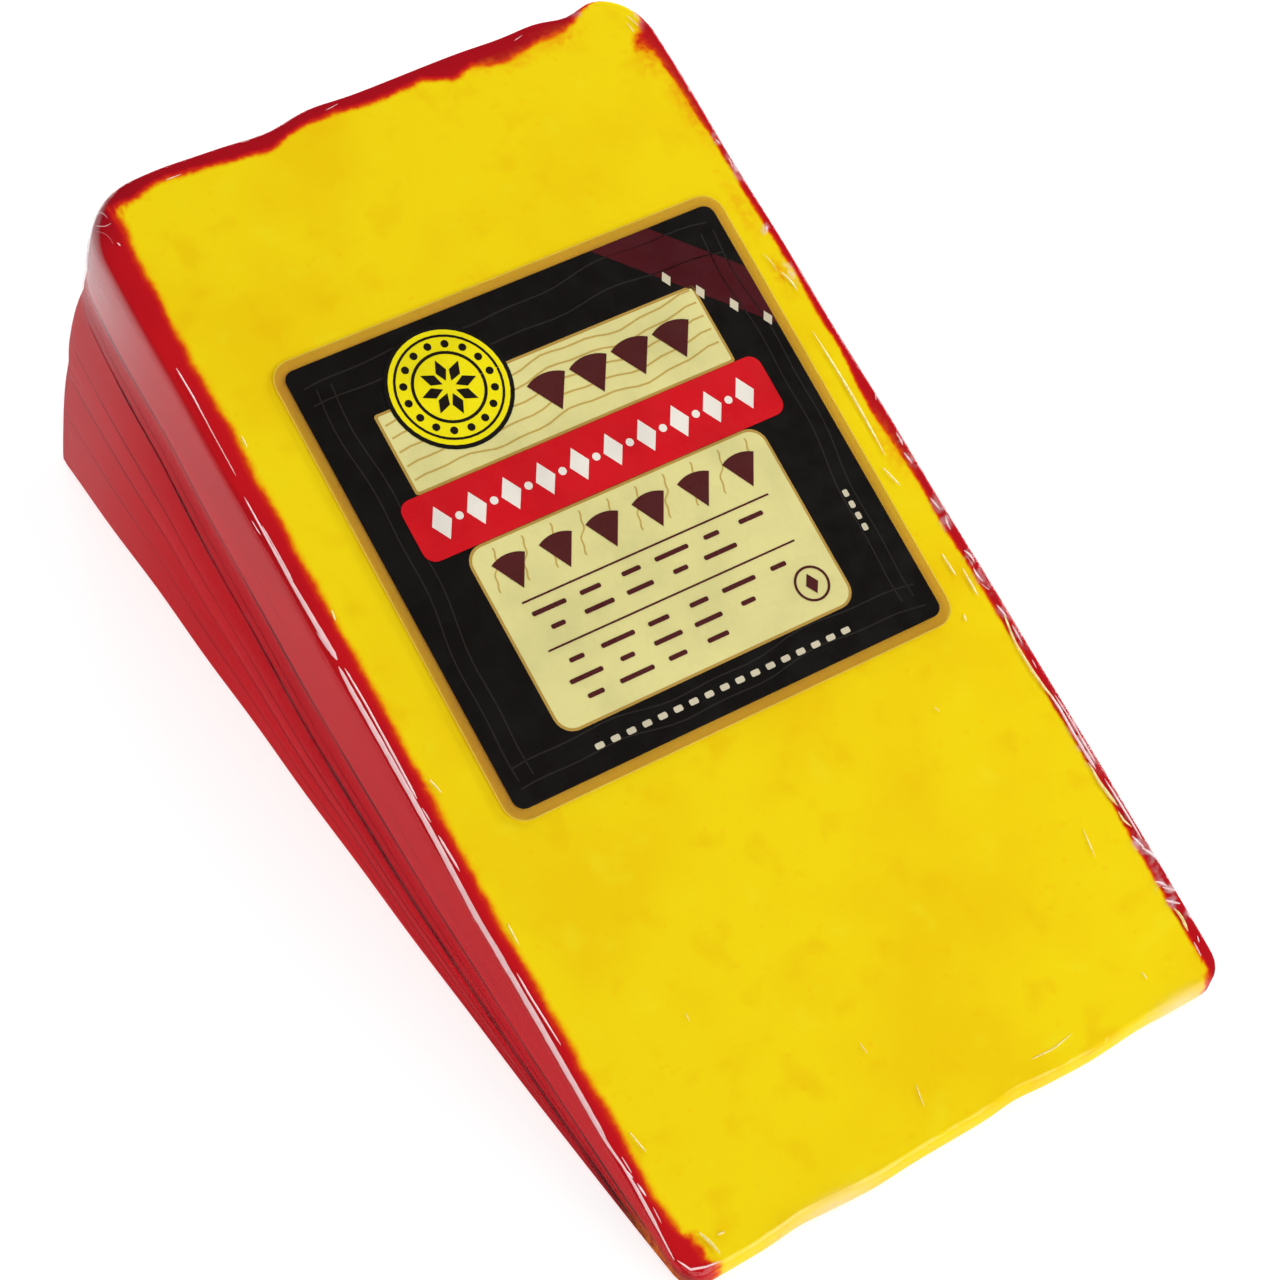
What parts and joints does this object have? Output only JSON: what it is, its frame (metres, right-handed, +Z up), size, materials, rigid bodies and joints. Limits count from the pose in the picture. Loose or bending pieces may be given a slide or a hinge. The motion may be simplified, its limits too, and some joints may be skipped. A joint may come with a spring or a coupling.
{
  "type": "film-packed wedge of red-waxed cheddar",
  "caption": "Blunt-tipped wedge of cheddar cut from a red-waxed wheel, sealed in clear skin-tight film, lying on a cut face, with a square label on top.",
  "frame": {"origin": "middle of the wedge's box, on the surface that it lies on", "axes": "+Y from the thin edge at the wheel's middle to the waxed rim, X along the wheel's axis, +Z up"},
  "size_m": [0.1032, 0.1826, 0.0671],
  "materials": {
    "waxed_cheese": "yellow cheese with a red waxed rind, under clear skin-tight film",
    "label": "glossy black print with cream and red fields on a clear carrier"
  },
  "bodies": {
    "root": {"cheddar_wedge": "waxed_cheese", "label": "label"}
  },
  "joints": []
}
